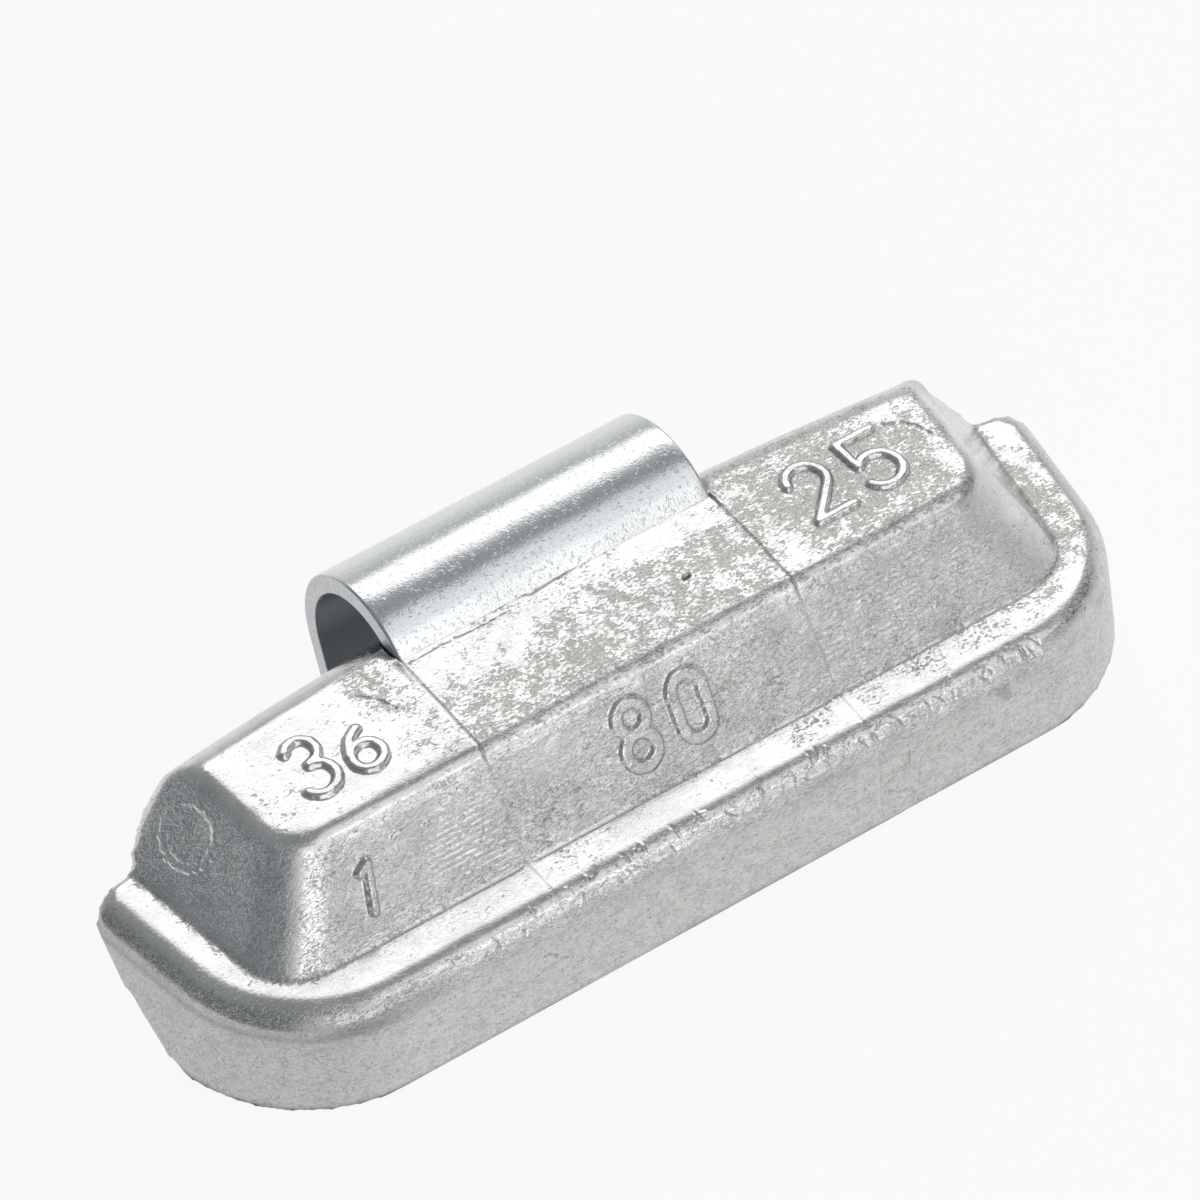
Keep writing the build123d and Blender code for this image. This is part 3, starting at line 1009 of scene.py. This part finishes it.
def spring_clip(material):
    """The clip: its section swept along its line, with its sheared ends painted and painted shade inside its
    curl.
    """
    section = curve_object("strip_section", [(x, y, 0) for x, y in strip_section()], True)
    line = curve_object("strip_line", [(CLIP_OFFSET, y, z) for y, z in strip_line()], False)
    modifier = line.modifiers.new("bent strip", "NODES")
    modifier.node_group = strip_tree()
    values = {
        "Section": section,
        "Half width": CLIP_WIDTH / 2 * MM,
        "Middle": CLIP_OFFSET * MM,
        "Tip corner": TIP_CORNER * MM,
        "Hole diameter": KEY_DIAMETER * MM,
        "Hole spacing": KEY_SPACING * MM,
        "Hole depth": 2 * STRIP_THICKNESS * MM,
        "Hole place": (CLIP_OFFSET * MM - KEY_SPACING / 2 * MM, *(root_middle() * MM)),
        "Hole turn": radians(ROOT_ANGLE),
        "Wave height": WAVE_HEIGHT * MM,
        "Wave length": WAVE_LENGTH * MM,
        "Finish": material,
    }
    for item in modifier.node_group.interface.items_tree:
        if item.in_out == "INPUT" and item.name in values:
            modifier[item.identifier] = values[item.name]
    mesh = plain_mesh(line, "spring_clip_strip")
    bpy.data.objects.remove(line)
    bpy.data.objects.remove(section)

    closed = bmesh.new()
    closed.from_mesh(mesh)
    bmesh.ops.remove_doubles(closed, verts=closed.verts, dist=STRIP_MERGE * MM)
    bmesh.ops.recalc_face_normals(closed, faces=closed.faces)
    closed.to_mesh(mesh)
    closed.free()
    mesh.update()
    places = vertex_array(mesh) / MM
    across = np.abs(places[:, 0] - CLIP_OFFSET)
    paint(mesh, "sheared", smooth_step(CLIP_WIDTH / 2 - STRIP_EDGE, CLIP_WIDTH / 2 - 0.02, across))
    # Painted shade inside the curl, on faces that look towards its centre
    to_centre = np.array(CURL_CENTRE) - places[:, 1:]
    to_centre /= np.linalg.norm(to_centre, axis=1)[:, None]
    inward = (vertex_array(mesh, "normal")[:, 1:] * to_centre).sum(1)
    paint(mesh, "inside", smooth_step(*SHADED_INSIDE_TURN, inward))
    mesh.shade_smooth()
    clip = new_object("plated_spring_clip", mesh)
    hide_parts("spring_clip")
    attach(clip, "root")
    return clip


# Stage

def direction(azimuth, elevation):
    """Way out from the weight: azimuth from +Y towards +X, in degrees."""
    a, e = radians(azimuth), radians(elevation)
    return Vector((sin(a) * cos(e), cos(a) * cos(e), sin(e)))


def softbox(name, azimuth, elevation, width, height, brightness, distance):
    """A soft light panel that faces the weight. Its width and height are angles as the weight sees them."""
    data = bpy.data.lights.new(name, "AREA")
    data.shape = "RECTANGLE"
    data.size = 2 * distance * tan(radians(width / 2))
    data.size_y = 2 * distance * tan(radians(height / 2))
    data.energy = brightness * pi * data.size * data.size_y
    lamp = new_object(name, data)
    away = direction(azimuth, elevation)
    lamp.location = away * distance
    lamp.rotation_euler = away.to_track_quat("Z", "Y").to_euler()


def studio():
    """A grey room with soft panels: darker on the weight's left, pale at the horizon and greyer overhead.

    A dark flag on the weight's right and a soft glow in front of it show in the rounded edges.
    """
    for name, panel in PANELS.items():
        softbox(name, *panel)
    world = bpy.data.worlds.new("grey_room")
    bpy.context.scene.world = world
    tree = empty_tree(world)
    way = add(tree, "ShaderNodeTexCoord")
    across, _, up = add(tree, "ShaderNodeSeparateXYZ", {"Vector": way}).node.outputs
    to_flag, to_glow = (
        add(tree, "ShaderNodeVectorMath", {
            0: way, 1: direction(*spot)}, operation="DOT_PRODUCT", out="Value")
        for spot in (FLAG_WAY, GLOW_WAY))

    # Shares of the room's tones: what they follow, where they start and are full, and how full that is
    share = {}
    for name, value, start, full, most, turn in (
            ("right", across, -0.9, 0.9, 1.0, "LINEAR"), ("low", up, 0.48, 0.12, 0.9, "LINEAR"),
            ("off left", across, -0.75, 0.1, 1.0, "LINEAR"), ("overhead", up, 0.78, 0.92, 0.6, "LINEAR"),
            ("flag", to_flag, 0.93, 0.985, 0.8, "SMOOTHSTEP"), ("glow", to_glow, 0.84, 0.99, 1.0, "LINEAR")):
        share[name] = add(tree, "ShaderNodeMapRange", {
            "Value": value, "From Min": start, "From Max": full, "To Max": most}, interpolation_type=turn)
    share["pale"] = add(tree, "ShaderNodeMath", {0: share["low"], 1: share["off left"]}, operation="MULTIPLY")
    room = add(tree, "ShaderNodeValToRGB", {"Fac": share["right"]})
    set_stops(room.node, (0.0, "#7e8488"), (1.0, "#bfbebb"))
    for name, colour in (
            ("pale", "#eef0f0"), ("overhead", "#90969a"), ("flag", "#5c5e60"), ("glow", "#f4f5f5")):
        room = add(tree, "ShaderNodeMix", {
            0: share[name], 6: room, 7: linear(colour)}, data_type="RGBA", out=2)
    background = add(tree, "ShaderNodeBackground", {"Color": room})
    add(tree, "ShaderNodeOutputWorld", {"Surface": background})


def white_floor():
    """Matt white table. Seen directly or in the metal it is lifted to plain white, and keeps the shadow."""
    material = bpy.data.materials.new("matt_white_table")
    tree = empty_tree(material)
    matt = add(tree, "ShaderNodeBsdfDiffuse", {"Color": linear("#f4f4f4")})
    white = add(tree, "ShaderNodeEmission", {"Color": (1, 1, 1, 1), "Strength": 1.0})
    path = add(tree, "ShaderNodeLightPath").node.outputs
    seen = path["Is Camera Ray"]
    for ray in ("Is Glossy Ray", "Is Transmission Ray"):
        seen = add(tree, "ShaderNodeMath", {0: seen, 1: path[ray]}, operation="MAXIMUM")
    lifted = add(tree, "ShaderNodeMath", {0: seen, 1: TABLE_LIFT}, operation="MULTIPLY")
    mixed = add(tree, "ShaderNodeMixShader", {0: lifted, 1: matt, 2: white})
    add(tree, "ShaderNodeOutputMaterial", {"Surface": mixed})
    shape = bmesh.new()
    bmesh.ops.create_circle(shape, cap_ends=True, segments=TABLE_SIDES, radius=TABLE_RADIUS)
    mesh = bpy.data.meshes.new("table_top")
    shape.to_mesh(mesh)
    shape.free()
    mesh.materials.append(material)
    floor = new_object("table_top", mesh)


def camera():
    """Camera at the photograph's place, with its turn about the line of sight."""
    back = direction(VIEW_AZIMUTH + 180, VIEW_ELEVATION)
    right = Vector((cos(radians(VIEW_AZIMUTH)), -sin(radians(VIEW_AZIMUTH)), 0.0))
    up = back.cross(right)
    roll = radians(VIEW_ROLL)
    turned_right = cos(roll) * right + sin(roll) * up
    turned_up = cos(roll) * up - sin(roll) * right
    data = bpy.data.cameras.new("camera")
    data.sensor_width = SENSOR
    data.lens = FOCAL_PIXELS / PICTURE_PIXELS * SENSOR
    data.clip_start = 0.01
    data.clip_end = 10.0
    made = new_object("camera", data)
    made.matrix_world = Matrix((turned_right, turned_up, back)).transposed().to_4x4()
    made.location = Vector(EYE) * MM
    bpy.context.scene.camera = made


cast_body(die_cast_zinc())
spring_clip(plated_spring_steel())
white_floor()
studio()
camera()
bpy.context.scene.view_settings.view_transform = "Standard"
